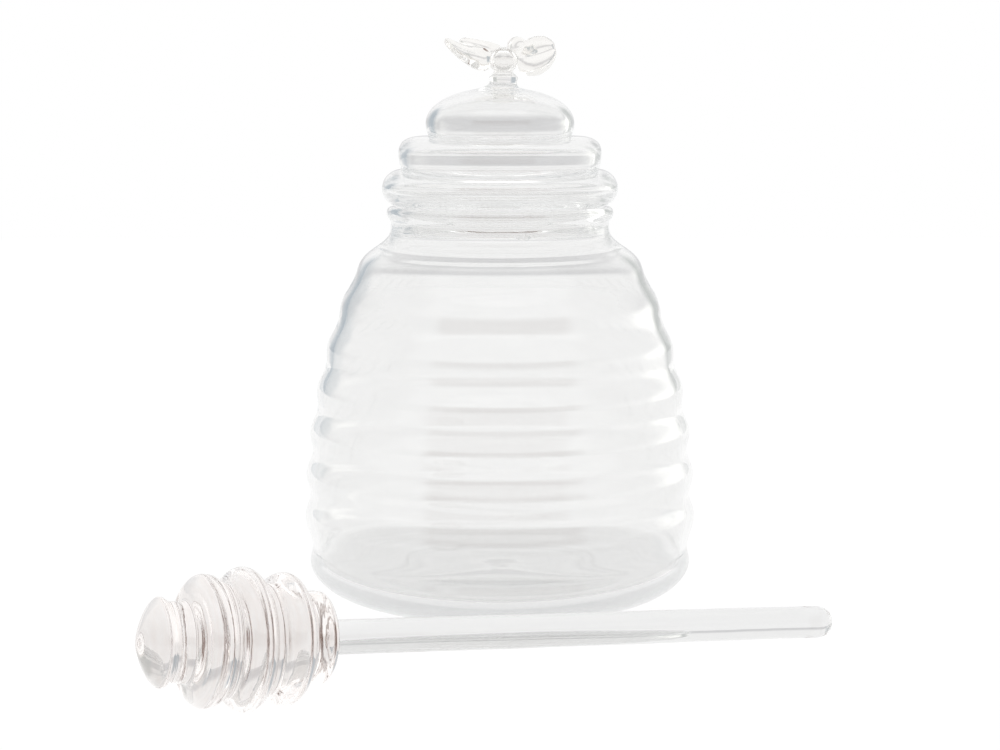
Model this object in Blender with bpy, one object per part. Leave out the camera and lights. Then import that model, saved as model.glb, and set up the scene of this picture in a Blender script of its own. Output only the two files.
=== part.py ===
"""Blown glass beehive honey pot: ribbed pot, lift-off lid with a bee finial, and a dipper.

Metres, +Z up. The origin is the centre of the pot's flat foot. The front of the pot,
where the dipper lies, faces -Y.
"""

import math
from dataclasses import dataclass

import bmesh
import bpy
from mathutils import Matrix, Vector

MM = 0.001

# Clearances
SEAT_GAP = 0.3 * MM            # between glass that touches or is fused
PLUG_CLEARANCE = 0.8 * MM      # radial play of the lid's plug in the neck

# Pot: the hive's ribbed wall
BELLY_RADIUS = 51.0 * MM       # crest of the widest rib
BELLY_HEIGHT = 21.5 * MM       # height of that crest
SHOULDER_HEIGHT = 86.0 * MM    # where the ribs end
SHOULDER_INSET = 13.7 * MM     # crest line there, inside the belly
RIB_PITCH = 11.25 * MM         # from crest to crest, going up
RIB_DEPTH = 1.25 * MM          # groove below the crest line, at the belly
POT_WALL = 2.0 * MM

# Pot: foot and base roll
FOOT_RADIUS = 34.0 * MM        # the flat that stands on the table
ROLL_INSET = 1.15 * MM         # base roll inside the belly
ROLL_HEIGHT = 9.5 * MM
BASE_GROOVE_DEPTH = 0.6 * MM   # below the base roll
BASE_GROOVE_RISE = 3.5 * MM    # from the roll up to the groove
FLOOR_THICKNESS = 3.2 * MM

# Pot: shoulder, neck and rim
SHOULDER_RISE = 10.2 * MM      # from the last rib to the neck
NECK_RADIUS = 28.3 * MM
NECK_LENGTH = 2.1 * MM
RIM_BEAD = 1.1 * MM            # how far the bead stands out from the neck
RIM_BEAD_HEIGHT = 3.4 * MM
RIM_ROUND = 1.0 * MM           # inner edge of the mouth

# Lid: plug, two rolls and a dome, all one hollow blown wall
LID_WALL = 1.9 * MM
PLUG_LENGTH = 6.8 * MM
PLUG_ROUND = 0.6 * MM
SEAT_LAND = 1.1 * MM           # flat ring that rests on the rim
LOW_ROLL_RADIUS = 30.55 * MM
LOW_ROLL_HEIGHT = 9.35 * MM
HIGH_ROLL_RADIUS = 26.25 * MM
HIGH_ROLL_HEIGHT = 8.5 * MM
DOME_RADIUS = 19.25 * MM
DOME_HEIGHT = 12.3 * MM
WAIST_DEPTH = 1.0 * MM         # each waist lies inside the tier above it

# Finial: stem
FINIAL_OFFSET = 0.9 * MM       # the bee is fused a little off the lid's centre
STEM_RADIUS = 3.6 * MM
STEM_FOOT_FLARE = 1.3 * MM
STEM_TOP_FLARE = 0.3 * MM
STEM_HEIGHT = 3.0 * MM

# Finial: the bee's body, head to the front
THORAX_WIDTH = 7.5 * MM
THORAX_LENGTH = 9.0 * MM
THORAX_HEIGHT = 7.0 * MM
HEAD_WIDTH = 6.6 * MM
HEAD_LENGTH = 4.4 * MM
ABDOMEN_WIDTH = 6.4 * MM
ABDOMEN_LENGTH = 9.0 * MM

# Finial: the bee's wings
LEFT_FRONT_LENGTH = 13.2 * MM
LEFT_FRONT_WIDTH = 8.8 * MM
RIGHT_FRONT_LENGTH = 10.8 * MM
RIGHT_FRONT_WIDTH = 11.0 * MM
LEFT_BACK_LENGTH = 11.0 * MM
LEFT_BACK_WIDTH = 7.0 * MM
RIGHT_BACK_LENGTH = 7.8 * MM
RIGHT_BACK_WIDTH = 6.4 * MM
FRONT_WING_ROOT = 5.6 * MM     # thickness of the bead that each wing is drawn from
BACK_WING_ROOT = 2.6 * MM
WING_EDGE = 1.9 * MM           # thickness out towards the wing's end

# Dipper: rod and ribbed head
ROD_RADIUS = 3.95 * MM
ROD_LENGTH = 125.6 * MM        # from the centre of the round end to the head
DIPPER_GROOVE_RADIUS = 12.2 * MM   # floor of the shallowest groove
DIPPER_RIB_RADIUS = 15.7 * MM  # the largest rib, which rests on the table
DIPPER_RIB_PITCH = 9.5 * MM
NOSE_RADIUS = 9.8 * MM         # edge of the pointed nose
NOSE_LENGTH = 4.8 * MM
NOSE_COLLAR = 2.2 * MM         # from the last groove's floor to that edge

# Dipper: its place on the table
DIPPER_CLEARANCE = 23.15 * MM  # from the pot's belly to the rod
TAIL_REACH = 46.3 * MM         # from the point nearest the pot to the round end
DIPPER_BEARING = math.radians(206.4)

# Shapes, as shares of the sizes that they follow
RIB_FADE_SHARE = 1.0           # how fast the ribs grow shallow towards the shoulder
SHOULDER_LOW_SHARE = 0.54
SHOULDER_HIGH_SHARE = 0.44
LOW_ROLL_MID_SHARE = 0.47
HIGH_ROLL_MID_SHARE = 0.43
DOME_MID_SHARE = 0.245
ABDOMEN_TAPER_SHARE = 0.45
DIPPER_RIB_RADIUS_SHARES = (0.656, 0.917, 1.0, 0.911)
DIPPER_RIB_PLACE_SHARES = (0.37, 1.165, 2.145, 3.085)  # along the head, in pitches
DIPPER_RIB_HALF_SHARES = (0.3, 0.38, 0.38, 0.4)        # half of each rib's thickness
DIPPER_GROOVE_SHARES = (0.81, 0.975, 1.0, 0.713)       # floor after each rib
NOSE_PLACE_SHARE = 4.08
WING_STATION_SHARES = (0.0, 0.05, 0.16, 0.34, 0.54, 0.74, 0.9, 0.98)
WING_BEAD_SHARES = (0.42, 0.78, 1.0, 0.86, 0.5, 0.2, 0.0, 0.0)
WING_EDGE_SHARES = (0.8, 1.0, 1.0, 1.0, 1.0, 1.0, 0.85, 0.5)
POINTED_WIDTH_SHARES = (0.3, 0.6, 0.86, 0.8, 0.58, 0.44, 0.34, 0.2)
ROUND_WIDTH_SHARES = (0.24, 0.5, 0.78, 0.96, 1.0, 0.88, 0.6, 0.28)

# Fullness of the rounded corners: 1 is a straight slope, 2 an ellipse, more is squarer
BASE_CORNER_POWER = 1.85
LOW_ROLL_POWER = 2.0
HIGH_ROLL_POWER = 2.9
DOME_POWER = 2.1
DIPPER_RIB_POWER = 1.9
NOSE_POWER = 1.35

# Counts
TURN_STEPS = 32
SMALL_TURN_STEPS = 20
STEPS_PER_RIB = 5
WING_SIDES = 10


# Outlines: points (radius, height) of a turned wall

def arc(centre, wide, high, start, end, steps, power=2.0):
    """Points of a superellipse round a centre, from one angle in degrees to another."""
    points = []
    for step in range(steps + 1):
        angle = math.radians(start + (end - start) * step / steps)
        cosine, sine = math.cos(angle), math.sin(angle)
        points.append((
            centre[0] + wide * math.copysign(abs(cosine) ** (2 / power), cosine),
            centre[1] + high * math.copysign(abs(sine) ** (2 / power), sine),
        ))
    return points


def ease(start, end, steps):
    """Points of an S-curve that leaves one height and reaches another upright."""
    points = []
    for step in range(steps + 1):
        share = step / steps
        turn = (1 - math.cos(math.pi * share)) / 2
        points.append((
            start[0] + (end[0] - start[0]) * turn,
            start[1] + (end[1] - start[1]) * share,
        ))
    return points


def bezier(first, second, third, fourth, steps):
    """Points of a cubic curve between the first and the fourth point."""
    points = []
    for step in range(steps + 1):
        t = step / steps
        weights = ((1 - t) ** 3, 3 * t * (1 - t) ** 2, 3 * t * t * (1 - t), t ** 3)
        controls = (first, second, third, fourth)
        points.append(tuple(
            sum(weight * control[axis] for weight, control in zip(weights, controls))
            for axis in (0, 1)
        ))
    return points


def joined(*runs):
    """One outline from several, without the point that two neighbours share."""
    outline = list(runs[0])
    for run in runs[1:]:
        outline.extend(run[1:])
    return outline


def inside(outline, thickness):
    """The outline moved to its left by a wall thickness, which a function of height gives."""
    moved = []
    last = len(outline) - 1
    for index, (radius, height) in enumerate(outline):
        before = outline[max(index - 1, 0)]
        after = outline[min(index + 1, last)]
        along = Vector((after[0] - before[0], after[1] - before[1])).normalized()
        wall = thickness(height)
        moved.append((radius - along.y * wall, height + along.x * wall))
    return moved


# Meshes

def new_object(name, mesh, material):
    """Puts a mesh into the scene as a named piece of glass."""
    mesh.materials.append(material)
    piece = bpy.data.objects.new(name, mesh)
    bpy.context.scene.collection.objects.link(piece)
    return piece


def finish_mesh(name, shape):
    """Turns a working mesh into a mesh with outward, smoothly shaded faces."""
    bmesh.ops.recalc_face_normals(shape, faces=shape.faces)
    mesh = bpy.data.meshes.new(name)
    shape.to_mesh(mesh)
    shape.free()
    mesh.shade_smooth()
    mesh.set_sharp_from_angle(angle=math.radians(50))
    return mesh


def turned(name, outline, steps):
    """Spins an outline that starts and ends on the axis into a closed solid."""
    shape = bmesh.new()
    points = [shape.verts.new((radius, 0, height)) for radius, height in outline]
    path = [shape.edges.new(pair) for pair in zip(points, points[1:])]
    bmesh.ops.spin(
        shape, geom=points + path, cent=(0, 0, 0), axis=(0, 0, 1),
        angle=math.tau, steps=steps,
    )
    bmesh.ops.remove_doubles(shape, verts=shape.verts, dist=SEAT_GAP / 100)
    return finish_mesh(name, shape)


def lofted(name, rings):
    """Bridges rings of points into a closed solid with flat ends."""
    shape = bmesh.new()
    loops = []
    for ring in rings:
        points = [shape.verts.new(point) for point in ring]
        following = points[1:] + points[:1]
        loops.append([shape.edges.new(pair) for pair in zip(points, following)])
    for lower, upper in zip(loops, loops[1:]):
        bmesh.ops.bridge_loops(shape, edges=lower + upper)
    for end in (loops[0], loops[-1]):
        bmesh.ops.contextual_create(shape, geom=end)
    return finish_mesh(name, shape)


def glass(name, colour):
    """A clear glass with a faint tint of its own."""
    material = bpy.data.materials.new(name)
    material.use_nodes = True
    shader = material.node_tree.nodes["Principled BSDF"]
    shader.inputs["Base Color"].default_value = (*colour, 1)
    shader.inputs["Roughness"].default_value = 0.02
    shader.inputs["Metallic"].default_value = 0
    shader.inputs["IOR"].default_value = 1.47
    shader.inputs["Transmission Weight"].default_value = 1
    return material


# Pot

NECK_BORE = NECK_RADIUS - POT_WALL
RIM_START_HEIGHT = SHOULDER_HEIGHT + SHOULDER_RISE + NECK_LENGTH
RIM_HEIGHT = RIM_START_HEIGHT + RIM_BEAD_HEIGHT


def hive_radius(height):
    """Outer radius of the ribbed wall: an ellipse of crests, less a wave of grooves."""
    shoulder_share = (BELLY_RADIUS - SHOULDER_INSET) / BELLY_RADIUS
    full_rise = (SHOULDER_HEIGHT - BELLY_HEIGHT) / math.sqrt(1 - shoulder_share ** 2)
    rise = (height - BELLY_HEIGHT) / full_rise
    crest = BELLY_RADIUS * math.sqrt(1 - rise ** 2)
    wave = (1 - math.cos(math.tau * (height - BELLY_HEIGHT) / RIB_PITCH)) / 2
    return crest - RIB_DEPTH * (1 - RIB_FADE_SHARE * rise ** 2) * wave


def ribbed_wall():
    """Outline of the ribs, from the belly up to the shoulder."""
    rise = SHOULDER_HEIGHT - BELLY_HEIGHT
    steps = round(STEPS_PER_RIB * rise / RIB_PITCH)
    heights = [BELLY_HEIGHT + rise * step / steps for step in range(steps + 1)]
    return [(hive_radius(height), height) for height in heights]


def base_wall():
    """Outline from the foot's edge round the base roll and up to the belly."""
    roll_radius = BELLY_RADIUS - ROLL_INSET
    roll = (roll_radius, ROLL_HEIGHT)
    groove = (roll_radius - BASE_GROOVE_DEPTH, ROLL_HEIGHT + BASE_GROOVE_RISE)
    corner = arc(
        (FOOT_RADIUS, ROLL_HEIGHT), roll_radius - FOOT_RADIUS, ROLL_HEIGHT,
        -90, 0, 6, BASE_CORNER_POWER,
    )
    return joined(corner, ease(roll, groove, 3), ease(groove, (BELLY_RADIUS, BELLY_HEIGHT), 5))


def shoulder_wall():
    """Outline of the shoulder, which leaves the last rib along its slope."""
    start = (hive_radius(SHOULDER_HEIGHT), SHOULDER_HEIGHT)
    slope = (start[0] - hive_radius(SHOULDER_HEIGHT - SEAT_GAP)) / SEAT_GAP
    low = SHOULDER_LOW_SHARE * SHOULDER_RISE
    high = SHOULDER_HIGH_SHARE * SHOULDER_RISE
    end = (NECK_RADIUS, SHOULDER_HEIGHT + SHOULDER_RISE)
    return bezier(
        start, (start[0] + slope * low, start[1] + low),
        (NECK_RADIUS, end[1] - high), end, 6,
    )


def pot_wall(height):
    """Thickness of the pot's glass, which is heavier in the foot."""
    low = max(1 - height / ROLL_HEIGHT, 0)
    return POT_WALL + (FLOOR_THICKNESS - POT_WALL) * low


def pot_outline():
    """Outline of the whole pot, from the middle of the foot round to its floor."""
    outer = joined(base_wall(), ribbed_wall(), shoulder_wall())
    bead = arc(
        (NECK_RADIUS, RIM_START_HEIGHT + RIM_BEAD_HEIGHT / 2),
        RIM_BEAD, RIM_BEAD_HEIGHT / 2, -90, 90, 6,
    )
    mouth = arc(
        (NECK_BORE + RIM_ROUND, RIM_HEIGHT - RIM_ROUND), RIM_ROUND, RIM_ROUND, 90, 180, 3,
    )
    inner = inside(outer, pot_wall)
    return [(0, 0)] + outer + bead + mouth + inner[::-1] + [(0, FLOOR_THICKNESS)]


def make_pot(material):
    """The one-piece blown pot."""
    return new_object("pot_body", turned("pot_body", pot_outline(), TURN_STEPS), material)


# Lid

SEAT_HEIGHT = RIM_HEIGHT + SEAT_GAP
PLUG_RADIUS = NECK_BORE - PLUG_CLEARANCE
LOW_WAIST_HEIGHT = SEAT_HEIGHT + LOW_ROLL_HEIGHT
HIGH_WAIST_HEIGHT = LOW_WAIST_HEIGHT + HIGH_ROLL_HEIGHT
DOME_TOP_HEIGHT = HIGH_WAIST_HEIGHT + DOME_HEIGHT
DOME_MID_HEIGHT = HIGH_WAIST_HEIGHT + DOME_MID_SHARE * DOME_HEIGHT
LOW_WAIST_RADIUS = HIGH_ROLL_RADIUS - WAIST_DEPTH
HIGH_WAIST_RADIUS = DOME_RADIUS - WAIST_DEPTH


@dataclass(frozen=True)
class Tier:
    """One bulge of the lid, between a waist below and a waist or the axis above."""

    radius: float
    foot: tuple
    middle: float
    top: tuple
    power: float
    steps: tuple

    def outline(self):
        """Points from the foot out round the bulge to the top."""
        low = arc(
            (self.foot[0], self.middle), self.radius - self.foot[0],
            self.middle - self.foot[1], -90, 0, self.steps[0],
        )
        high = arc(
            (self.top[0], self.middle), self.radius - self.top[0],
            self.top[1] - self.middle, 0, 90, self.steps[1], self.power,
        )
        return joined(low, high)


def lid_tiers(wall, foot):
    """The lid's three bulges, drawn in by a wall, starting from the lowest one's foot."""
    low_waist = (LOW_WAIST_RADIUS - wall, LOW_WAIST_HEIGHT - wall)
    high_waist = (HIGH_WAIST_RADIUS - wall, HIGH_WAIST_HEIGHT - wall)
    low_middle = SEAT_HEIGHT + LOW_ROLL_MID_SHARE * LOW_ROLL_HEIGHT
    high_middle = LOW_WAIST_HEIGHT + HIGH_ROLL_MID_SHARE * HIGH_ROLL_HEIGHT
    return (
        Tier(LOW_ROLL_RADIUS - wall, foot, low_middle, low_waist, LOW_ROLL_POWER, (4, 5)),
        Tier(HIGH_ROLL_RADIUS - wall, low_waist, high_middle, high_waist,
             HIGH_ROLL_POWER, (3, 6)),
        Tier(DOME_RADIUS - wall, high_waist, DOME_MID_HEIGHT, (0, DOME_TOP_HEIGHT - wall),
             DOME_POWER, (3, 7)),
    )


def tiers_outline(tiers):
    """One outline up the side of the lid's bulges."""
    return joined(*(tier.outline() for tier in tiers))


def lid_outline():
    """Outline of the lid, from the dome's top down outside, round the plug and up inside."""
    bore = PLUG_RADIUS - LID_WALL
    outer = tiers_outline(lid_tiers(0, (PLUG_RADIUS + SEAT_LAND, SEAT_HEIGHT)))
    inner = tiers_outline(lid_tiers(LID_WALL, (bore, SEAT_HEIGHT + LID_WALL)))
    plug_end = SEAT_HEIGHT - PLUG_LENGTH
    plug = [(PLUG_RADIUS, SEAT_HEIGHT)] + arc(
        (PLUG_RADIUS - PLUG_ROUND, plug_end + PLUG_ROUND), PLUG_ROUND, PLUG_ROUND, 0, -90, 3,
    ) + arc(
        (bore + PLUG_ROUND, plug_end + PLUG_ROUND), PLUG_ROUND, PLUG_ROUND, -90, -180, 3,
    )
    return outer[::-1] + plug + inner


def make_lid(material):
    """The hollow lid, open below through its plug."""
    return new_object("lid_shell", turned("lid_shell", lid_outline(), TURN_STEPS), material)


# Finial

STEM_FOOT_RADIUS = STEM_RADIUS + STEM_FOOT_FLARE
STEM_TOP_HEIGHT = DOME_TOP_HEIGHT + STEM_HEIGHT
THORAX_CENTRE = Vector((FINIAL_OFFSET, 0, STEM_TOP_HEIGHT + SEAT_GAP + THORAX_HEIGHT / 2))
THORAX_SIZE = Vector((THORAX_WIDTH, THORAX_LENGTH, THORAX_HEIGHT))


def dome_height(radius):
    """Height of the dome's outer face at a distance from the lid's axis."""
    share = min(radius / DOME_RADIUS, 1)
    rise = DOME_TOP_HEIGHT - DOME_MID_HEIGHT
    return DOME_MID_HEIGHT + rise * (1 - share ** DOME_POWER) ** (1 / DOME_POWER)


def stem_outline():
    """Outline of the stem: a foot that follows the dome, a waist and a flared top."""
    foot = []
    for step in range(4):
        radius = STEM_FOOT_RADIUS * step / 3
        foot.append((radius, dome_height(max(radius - FINIAL_OFFSET, 0)) + SEAT_GAP))
    waist = (STEM_RADIUS, DOME_TOP_HEIGHT + STEM_HEIGHT / 2)
    lower = ease((STEM_FOOT_RADIUS, foot[-1][1]), waist, 4)
    upper = ease(waist, (STEM_RADIUS + STEM_TOP_FLARE, STEM_TOP_HEIGHT), 3)
    return foot + lower[1:] + upper[1:] + [(0, STEM_TOP_HEIGHT)]


def make_stem(material):
    """The short rod that carries the bee."""
    mesh = turned("finial_stem", stem_outline(), SMALL_TURN_STEPS)
    piece = new_object("finial_stem", mesh, material)
    piece.location.x = FINIAL_OFFSET
    return piece


def make_bead(name, centre, size, taper_share, material):
    """An egg of glass, narrowed towards the back by a share of its width."""
    shape = bmesh.new()
    bmesh.ops.create_uvsphere(shape, u_segments=12, v_segments=9, radius=0.5)
    along = Matrix.Rotation(math.radians(90), 4, "X")
    bmesh.ops.transform(shape, matrix=along, verts=shape.verts)
    for point in shape.verts:
        narrowing = 1 - taper_share * (point.co.y + 0.5) ** 2
        point.co.x *= size.x * narrowing
        point.co.z *= size.z * narrowing
        point.co.y *= size.y
    piece = new_object(name, finish_mesh(name, shape), material)
    piece.location = centre
    return piece


def make_bee_body(material):
    """Thorax on the stem, head in front of it and tapered abdomen behind."""
    head_size = Vector((HEAD_WIDTH, HEAD_LENGTH, HEAD_WIDTH))
    abdomen_size = Vector((ABDOMEN_WIDTH, ABDOMEN_LENGTH, ABDOMEN_WIDTH))
    forward = THORAX_LENGTH / 2 + SEAT_GAP + HEAD_LENGTH / 2
    backward = THORAX_LENGTH / 2 + SEAT_GAP + ABDOMEN_LENGTH / 2
    head_centre = THORAX_CENTRE - Vector((0, forward, 0))
    abdomen_centre = THORAX_CENTRE + Vector((0, backward, 0))
    make_bead("bee_thorax", THORAX_CENTRE, THORAX_SIZE, 0, material)
    make_bead("bee_head", head_centre, head_size, 0, material)
    make_bead("bee_abdomen", abdomen_centre, abdomen_size, ABDOMEN_TAPER_SHARE, material)


@dataclass(frozen=True)
class Wing:
    """A lobe drawn out of a bead of glass. Angles are in degrees, from +X in plan."""

    name: str
    root_bearing: float
    root_rise: float
    bearing: float
    rise: float
    twist: float
    length: float
    width: float
    root: float
    width_shares: tuple

    def heading(self, bearing, rise):
        """Unit vector from a bearing and a rise."""
        flat = math.cos(math.radians(rise))
        return Vector((
            flat * math.cos(math.radians(bearing)),
            flat * math.sin(math.radians(bearing)),
            math.sin(math.radians(rise)),
        ))

    def start(self):
        """Point just off the thorax, where the bead is fused."""
        out = self.heading(self.root_bearing, self.root_rise)
        half = THORAX_SIZE / 2
        reach = 1 / math.sqrt(sum((out[axis] / half[axis]) ** 2 for axis in range(3)))
        return THORAX_CENTRE + out * (reach + SEAT_GAP)

    def ring(self, share, width, thickness):
        """One cross-section, across the wing at a share of its length."""
        out = self.heading(self.root_bearing, self.root_rise)
        far = self.heading(self.bearing, self.rise)
        along = (out * (1 - share) + far * share).normalized()
        centre = self.start() + along * self.length * share
        level = Vector((0, 0, 1)).cross(far).normalized()
        across = Matrix.Rotation(math.radians(self.twist), 3, far) @ level
        across = (across - along * across.dot(along)).normalized()
        up = along.cross(across)
        points = []
        for side in range(WING_SIDES):
            angle = math.tau * side / WING_SIDES
            points.append(
                centre + across * width / 2 * math.cos(angle)
                + up * thickness / 2 * math.sin(angle)
            )
        return points

    def rings(self):
        """All cross-sections, from the bead at the root to the flat end."""
        rings = []
        shares = zip(WING_STATION_SHARES, self.width_shares, WING_BEAD_SHARES, WING_EDGE_SHARES)
        for station, width_share, bead_share, edge_share in shares:
            thickness = WING_EDGE * edge_share + (self.root - WING_EDGE) * bead_share
            rings.append(self.ring(station, self.width * width_share, thickness))
        return rings


def make_wings(material):
    """Two wings on each side: the left ones nearly edge-on, the right ones open."""
    wings = (
        Wing("wing_left_front", 194, 2, 181, 24, -36,
             LEFT_FRONT_LENGTH, LEFT_FRONT_WIDTH, FRONT_WING_ROOT, POINTED_WIDTH_SHARES),
        Wing("wing_right_front", -14, 4, -8, 16, 66,
             RIGHT_FRONT_LENGTH, RIGHT_FRONT_WIDTH, FRONT_WING_ROOT, ROUND_WIDTH_SHARES),
        Wing("wing_left_back", 126, 24, 160, 21, -46,
             LEFT_BACK_LENGTH, LEFT_BACK_WIDTH, BACK_WING_ROOT, POINTED_WIDTH_SHARES),
        Wing("wing_right_back", 52, 28, 58, 26, 56,
             RIGHT_BACK_LENGTH, RIGHT_BACK_WIDTH, BACK_WING_ROOT, ROUND_WIDTH_SHARES),
    )
    for wing in wings:
        new_object(wing.name, lofted(wing.name, wing.rings()), material)


# Dipper

DIPPER_HEAD_START = ROD_LENGTH + SEAT_GAP


def dipper_rib_places():
    """Distance of each rib along the dipper, from the centre of the round end."""
    return [DIPPER_HEAD_START + share * DIPPER_RIB_PITCH for share in DIPPER_RIB_PLACE_SHARES]


def dipper_head_outline():
    """Outline of the ribbed head, from the rod's end to the pointed nose."""
    outline = [(0, DIPPER_HEAD_START)]
    floor = ROD_RADIUS
    ribs = zip(dipper_rib_places(), DIPPER_RIB_RADIUS_SHARES, DIPPER_RIB_HALF_SHARES,
               DIPPER_GROOVE_SHARES)
    for place, radius_share, half_share, groove_share in ribs:
        radius = radius_share * DIPPER_RIB_RADIUS
        half = half_share * DIPPER_RIB_PITCH
        outline += arc((floor, place), radius - floor, half, -90, 0, 4, DIPPER_RIB_POWER)
        floor = groove_share * DIPPER_GROOVE_RADIUS
        outline += arc((floor, place), radius - floor, half, 0, 90, 4, DIPPER_RIB_POWER)[1:]
    edge = (NOSE_RADIUS, DIPPER_HEAD_START + NOSE_PLACE_SHARE * DIPPER_RIB_PITCH)
    collar = ease((floor, edge[1] - NOSE_COLLAR), edge, 3)
    nose = arc((0, edge[1]), NOSE_RADIUS, NOSE_LENGTH, 0, 90, 5, NOSE_POWER)
    return outline + joined(collar, nose)


def rod_outline():
    """Outline of the rod, from its round end to the head."""
    end = arc((0, 0), ROD_RADIUS, ROD_RADIUS, -90, 0, 5)
    return end + [(ROD_RADIUS, ROD_LENGTH), (0, ROD_LENGTH)]


def dipper_tilt():
    """Angle to the table of a rod that lies on its round end and on its largest rib."""
    largest = DIPPER_RIB_RADIUS_SHARES.index(max(DIPPER_RIB_RADIUS_SHARES))
    reach = dipper_rib_places()[largest]
    span = math.hypot(reach, DIPPER_RIB_RADIUS)
    return math.acos(ROD_RADIUS / span) - math.atan2(reach, DIPPER_RIB_RADIUS)


def dipper_frame():
    """Empty at the centre of the round end, with +Z along the rod and +X downward."""
    flat = Vector((math.cos(DIPPER_BEARING), math.sin(DIPPER_BEARING), 0))
    outward = Vector((-flat.y, flat.x, 0))
    tilt = dipper_tilt()
    along = flat * math.cos(tilt) + Vector((0, 0, math.sin(tilt)))
    down = flat * math.sin(tilt) - Vector((0, 0, math.cos(tilt)))
    nearest = outward * (BELLY_RADIUS + DIPPER_CLEARANCE + ROD_RADIUS)
    frame = bpy.data.objects.new("dipper_frame", None)
    bpy.context.scene.collection.objects.link(frame)
    turn = Matrix((down, along.cross(down), along)).transposed().to_4x4()
    place = nearest - flat * TAIL_REACH + Vector((0, 0, ROD_RADIUS))
    frame.matrix_world = Matrix.Translation(place) @ turn
    return frame


def make_dipper(material):
    """The solid glass dipper, lying in front of the pot."""
    frame = dipper_frame()
    pieces = (
        ("dipper_rod", rod_outline()),
        ("dipper_head", dipper_head_outline()),
    )
    for name, outline in pieces:
        piece = new_object(name, turned(name, outline, SMALL_TURN_STEPS), material)
        piece.parent = frame


def main():
    """Builds the pot, its lid and the dipper in an empty scene."""
    for old in list(bpy.data.objects):
        bpy.data.objects.remove(old)
    blown = glass("blown_glass", (0.94, 0.96, 0.95))
    worked = glass("worked_glass", (0.96, 0.95, 0.94))
    solid = glass("solid_glass", (0.95, 0.95, 0.95))
    make_pot(blown)
    make_lid(blown)
    make_stem(worked)
    make_bee_body(worked)
    make_wings(worked)
    make_dipper(solid)
    bpy.context.view_layer.update()


main()
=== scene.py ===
"""Looks of the beehive honey pot: clear blown glass pot, lid with a bee finial, and dipper.

Everything is in metres, +Z up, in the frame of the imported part. The origin is the centre of
the pot's foot, and the front of the pot, where the dipper lies, faces -Y.
"""

import logging
import math
from collections.abc import Callable, Sequence
from dataclasses import dataclass, field, replace
from enum import Enum

import bmesh
import bpy
from mathutils import Matrix, Vector, noise


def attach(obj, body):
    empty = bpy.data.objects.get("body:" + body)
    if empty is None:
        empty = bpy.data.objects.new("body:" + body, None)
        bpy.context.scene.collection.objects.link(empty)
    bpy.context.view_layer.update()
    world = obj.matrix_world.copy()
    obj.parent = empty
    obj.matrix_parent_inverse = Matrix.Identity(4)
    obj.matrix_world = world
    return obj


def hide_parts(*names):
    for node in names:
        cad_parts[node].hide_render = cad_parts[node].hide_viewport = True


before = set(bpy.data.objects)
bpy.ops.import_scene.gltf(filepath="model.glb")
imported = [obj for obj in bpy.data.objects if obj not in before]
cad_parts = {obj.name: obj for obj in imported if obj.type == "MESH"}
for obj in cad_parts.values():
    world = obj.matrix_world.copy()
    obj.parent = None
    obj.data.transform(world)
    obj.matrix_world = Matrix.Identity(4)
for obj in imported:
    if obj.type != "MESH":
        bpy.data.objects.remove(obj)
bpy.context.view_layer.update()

LOG = logging.getLogger("honey_pot")
MM = 0.001
SAME_PLACE = 0.002 * MM

Point = tuple[float, float]


# Turned walls


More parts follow.
